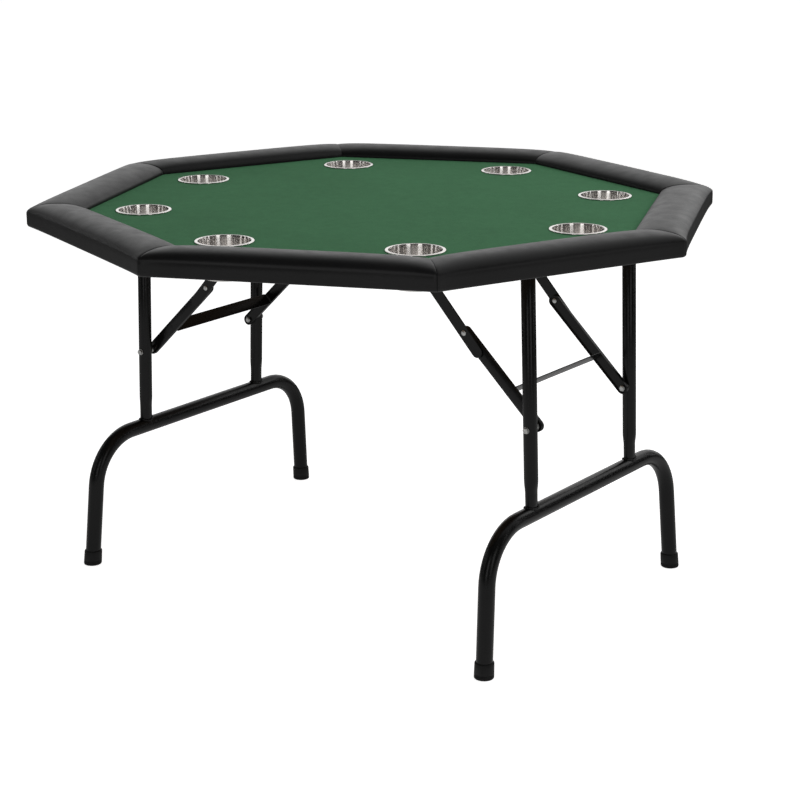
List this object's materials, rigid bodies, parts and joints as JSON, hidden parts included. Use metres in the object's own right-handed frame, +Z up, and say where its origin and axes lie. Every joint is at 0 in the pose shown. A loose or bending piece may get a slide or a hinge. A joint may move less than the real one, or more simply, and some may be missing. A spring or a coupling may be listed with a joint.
{
  "type": "folding poker table",
  "caption": "Octagonal folding card table with a green felt field, padded black rail, drop-in steel cup holders and two folding tubular leg frames with braces.",
  "frame": {"origin": "on the floor, under the middle of the top", "axes": "+Z up; the leg frames stand at -X and +X and their hinges run along Y"},
  "size_m": [1.2986, 1.2986, 0.7493],
  "materials": {
    "green_felt": "dense short-pile green felt, matt",
    "black_vinyl": "black faux leather over foam, fine grain, soft sheen",
    "brushed_cup_steel": "turned and brushed stainless steel",
    "black_leg_paint": "satin black powder coat",
    "black_cap_rubber": "matt black moulded rubber",
    "zinc_bolt_steel": "zinc plated steel",
    "board_wood": "plain board, unpainted underside"
  },
  "bodies": {
    "table_top": {"tabletop_board": "board_wood", "playing_felt": "green_felt", "rail_base": "board_wood", "rail_pad_1": "black_vinyl", "rail_pad_2": "black_vinyl", "rail_pad_3": "black_vinyl", "rail_pad_4": "black_vinyl", "rail_pad_5": "black_vinyl", "rail_pad_6": "black_vinyl", "rail_pad_7": "black_vinyl", "rail_pad_8": "black_vinyl", "cup_holder_1": "brushed_cup_steel", "cup_holder_2": "brushed_cup_steel", "cup_holder_3": "brushed_cup_steel", "cup_holder_4": "brushed_cup_steel", "cup_holder_5": "brushed_cup_steel", "cup_holder_6": "brushed_cup_steel", "cup_holder_7": "brushed_cup_steel", "cup_holder_8": "brushed_cup_steel", "brace_saddle_left": "black_leg_paint", "hinge_bracket_left_front": "black_leg_paint", "hinge_bracket_left_rear": "black_leg_paint", "hinge_bolt_left_front": "zinc_bolt_steel", "hinge_bolt_left_rear": "zinc_bolt_steel", "brace_saddle_right": "black_leg_paint", "hinge_bracket_right_front": "black_leg_paint", "hinge_bracket_right_rear": "black_leg_paint", "hinge_bolt_right_front": "zinc_bolt_steel", "hinge_bolt_right_rear": "zinc_bolt_steel"},
    "leg_frame_left": {"foot_tube_left": "black_leg_paint", "upright_left_front": "black_leg_paint", "upright_left_rear": "black_leg_paint", "foot_cap_left_front": "black_cap_rubber", "foot_cap_left_rear": "black_cap_rubber", "brace_bolt_left_front": "zinc_bolt_steel", "brace_bolt_left_rear": "zinc_bolt_steel"},
    "lower_links_left": {"lower_link_left_front": "black_leg_paint", "lower_link_left_rear": "black_leg_paint", "cross_strip_left": "black_leg_paint"},
    "upper_links_left": {"upper_link_left_front": "black_leg_paint", "upper_link_left_rear": "black_leg_paint", "elbow_rivet_left_front": "zinc_bolt_steel", "elbow_rivet_left_rear": "zinc_bolt_steel", "brace_rod_left": "zinc_bolt_steel"},
    "leg_frame_right": {"foot_tube_right": "black_leg_paint", "upright_right_front": "black_leg_paint", "upright_right_rear": "black_leg_paint", "foot_cap_right_front": "black_cap_rubber", "foot_cap_right_rear": "black_cap_rubber", "brace_bolt_right_front": "zinc_bolt_steel", "brace_bolt_right_rear": "zinc_bolt_steel"},
    "lower_links_right": {"lower_link_right_front": "black_leg_paint", "lower_link_right_rear": "black_leg_paint", "cross_strip_right": "black_leg_paint"},
    "upper_links_right": {"upper_link_right_front": "black_leg_paint", "upper_link_right_rear": "black_leg_paint", "elbow_rivet_right_front": "zinc_bolt_steel", "elbow_rivet_right_rear": "zinc_bolt_steel", "brace_rod_right": "zinc_bolt_steel"}
  },
  "joints": [
    {"name": "leg_fold_left", "type": "hinge", "parent": "table_top", "child": "leg_frame_left", "pos_m": [-0.4446, 0, 0.692], "axis": [0, -1, 0], "range_deg": [0, 83.2]},
    {"name": "lower_link_turn_left", "type": "hinge", "parent": "leg_frame_left", "child": "lower_links_left", "pos_m": [-0.45478, 0, 0.40618], "axis": [0, -1, 0], "range_deg": [0, 41.31]},
    {"name": "upper_link_turn_left", "type": "hinge", "parent": "table_top", "child": "upper_links_left", "pos_m": [-0.17, 0, 0.698], "axis": [0, -1, 0], "range_deg": [-45.68, 0]},
    {"name": "leg_fold_right", "type": "hinge", "parent": "table_top", "child": "leg_frame_right", "pos_m": [0.4446, 0, 0.692], "axis": [0, 1, 0], "range_deg": [0, 87.3]},
    {"name": "lower_link_turn_right", "type": "hinge", "parent": "leg_frame_right", "child": "lower_links_right", "pos_m": [0.45478, 0, 0.40618], "axis": [0, 1, 0], "range_deg": [0, 41.34]},
    {"name": "upper_link_turn_right", "type": "hinge", "parent": "table_top", "child": "upper_links_right", "pos_m": [0.17, 0, 0.698], "axis": [0, 1, 0], "range_deg": [-47.24, 0]}
  ],
  "couplings": [
    {"joint": "lower_link_turn_left", "follows": "leg_fold_left", "ratio": 0.49651},
    {"joint": "upper_link_turn_left", "follows": "leg_fold_left", "ratio": -0.54904},
    {"joint": "lower_link_turn_right", "follows": "leg_fold_right", "ratio": 0.47354},
    {"joint": "upper_link_turn_right", "follows": "leg_fold_right", "ratio": -0.54112}
  ]
}
